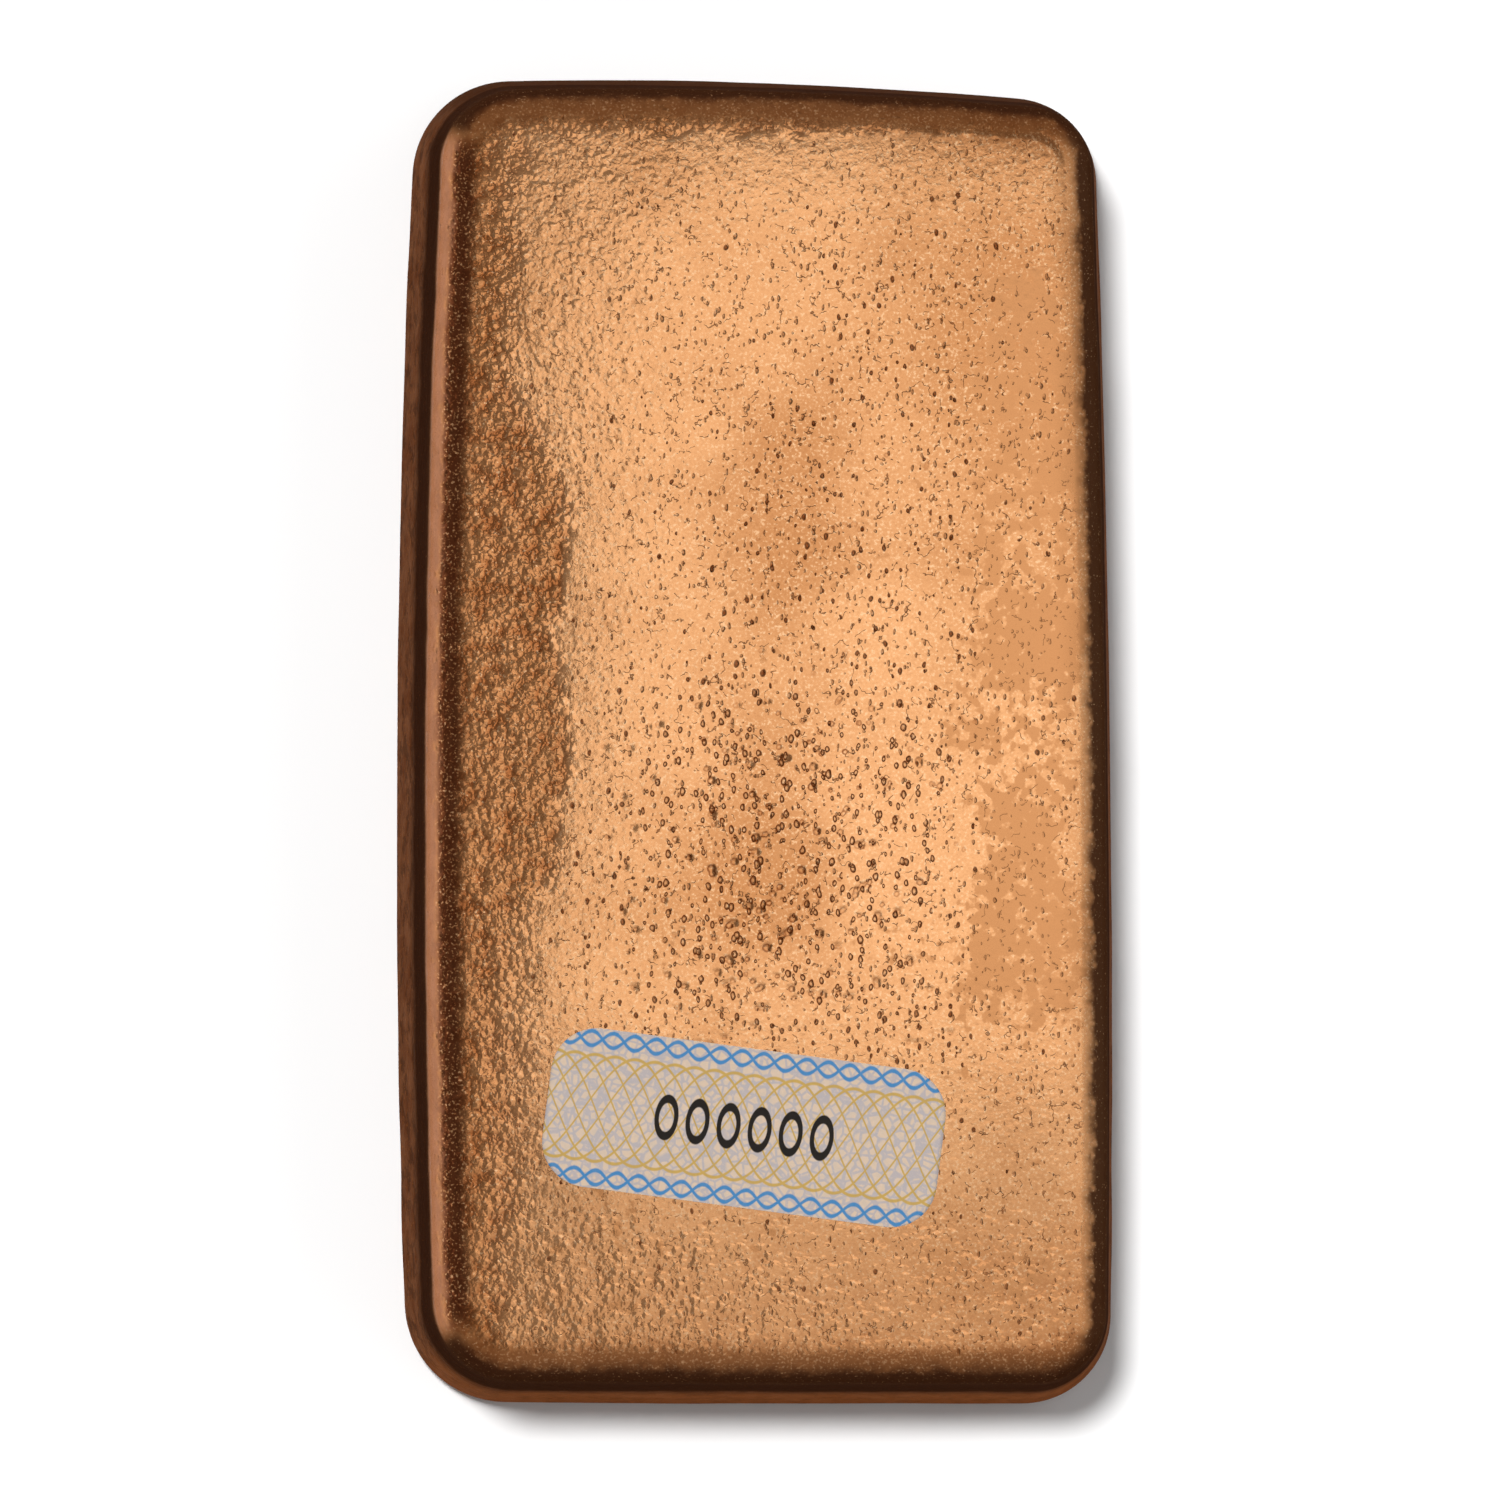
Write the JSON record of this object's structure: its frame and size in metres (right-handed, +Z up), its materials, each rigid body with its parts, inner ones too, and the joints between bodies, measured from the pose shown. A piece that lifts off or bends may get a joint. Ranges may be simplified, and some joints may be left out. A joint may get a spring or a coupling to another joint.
{
  "type": "copper ingot",
  "caption": "Hand-poured copper ingot: a rounded slab with drafted walls, rolled edges, a pitted upper face and a small paper label, lying flat on its poured side",
  "frame": {"origin": "middle of the bounding box in plan, on the level floor that the underside rests on", "axes": "+Y along the length towards the head end, +X to the right across the width, +Z up out of the labelled face"},
  "size_m": [0.0602, 0.111, 0.0185],
  "materials": {
    "copper": "as-cast copper, satin with pits and brown oxide at the edges",
    "label_paper": "printed paper, satin"
  },
  "bodies": {
    "root": {"ingot": "copper", "label": "label_paper"}
  },
  "joints": []
}
